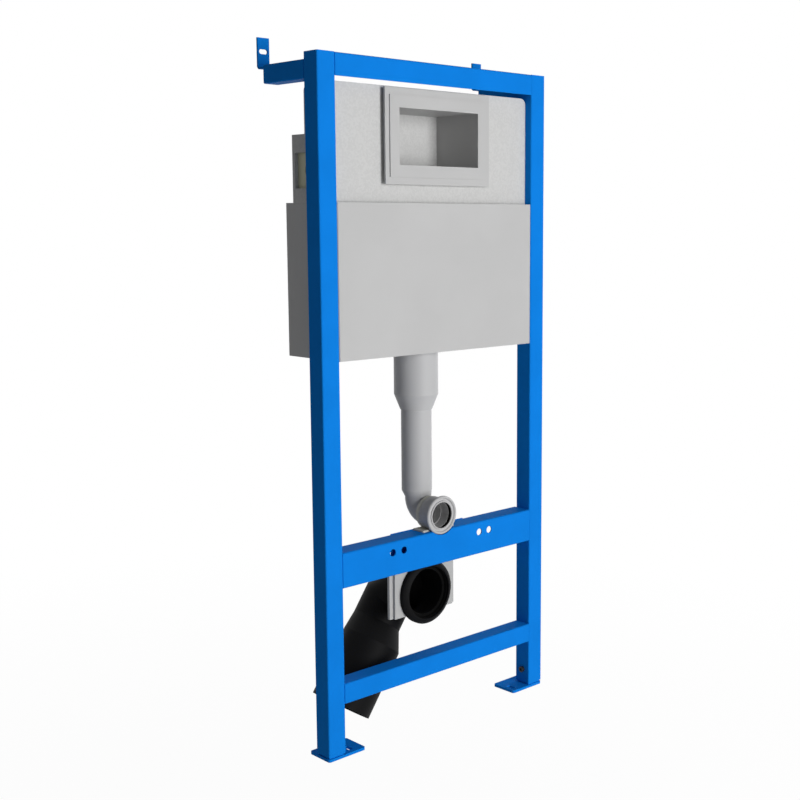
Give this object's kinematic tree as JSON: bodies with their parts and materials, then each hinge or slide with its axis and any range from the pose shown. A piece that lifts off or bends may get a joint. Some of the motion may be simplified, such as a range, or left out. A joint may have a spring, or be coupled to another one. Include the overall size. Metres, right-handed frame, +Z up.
{
  "type": "wall hung toilet frame",
  "caption": "Steel installation frame for a wall-hung toilet with a concealed cistern, flush pipe, drain bend, wall brackets and telescopic feet.",
  "frame": {"origin": "on the back face of the left wall bracket, level with the posts' top and centred on the bracket", "axes": "+X along the frame towards the right post, +Y into the wall, +Z up"},
  "size_m": [0.515, 0.175, 1.1845],
  "materials": {
    "blue_paint": "smooth satin powder coat",
    "dark_plastic": "fine grained moulding",
    "screw_steel": "dark machined",
    "tank_plastic": "smooth light grey",
    "insulation_foam": "beaded foam",
    "access_plastic": "smooth light grey",
    "inlet_plastic": "smooth",
    "pipe_plastic": "smooth grey",
    "clip_plastic": "smooth",
    "clamp_metal": "light grey",
    "drain_plastic": "smooth black",
    "seal_rubber": "soft black"
  },
  "bodies": {
    "frame": {"left_post": "blue_paint", "right_post": "blue_paint", "top_rail": "blue_paint", "cross_rail": "blue_paint", "low_rail": "blue_paint", "left_wall_arm": "blue_paint", "right_wall_arm": "blue_paint", "left_wall_bracket": "blue_paint", "right_wall_bracket": "blue_paint", "drain_carrier": "blue_paint", "left_post_cap": "dark_plastic", "right_post_cap": "dark_plastic", "left_clamp_screw": "screw_steel", "right_clamp_screw": "screw_steel", "cistern_tank": "tank_plastic", "cistern_shell": "insulation_foam", "access_flange": "access_plastic", "access_frame": "access_plastic", "left_water_inlet": "inlet_plastic", "right_inlet_blank": "inlet_plastic", "flush_socket": "pipe_plastic", "flush_pipe": "pipe_plastic", "flush_elbow": "pipe_plastic", "outlet_sleeve": "pipe_plastic", "outlet_ring": "pipe_plastic", "outlet_collar": "pipe_plastic", "pipe_clip": "clip_plastic", "front_drain_clamp": "clamp_metal", "back_drain_clamp": "clamp_metal", "drain_socket": "drain_plastic", "drain_seal": "seal_rubber", "drain_bend": "drain_plastic", "drain_reducer": "drain_plastic"},
    "left_leg_body": {"left_leg": "blue_paint", "left_foot_plate": "blue_paint"},
    "right_leg_body": {"right_leg": "blue_paint", "right_foot_plate": "blue_paint"}
  },
  "joints": [
    {"name": "left_leg_slide", "type": "slide", "parent": "frame", "child": "left_leg_body", "axis": [0, 0, -1], "range_m": [0, 0.2]},
    {"name": "right_leg_slide", "type": "slide", "parent": "frame", "child": "right_leg_body", "axis": [0, 0, -1], "range_m": [0, 0.2]}
  ]
}
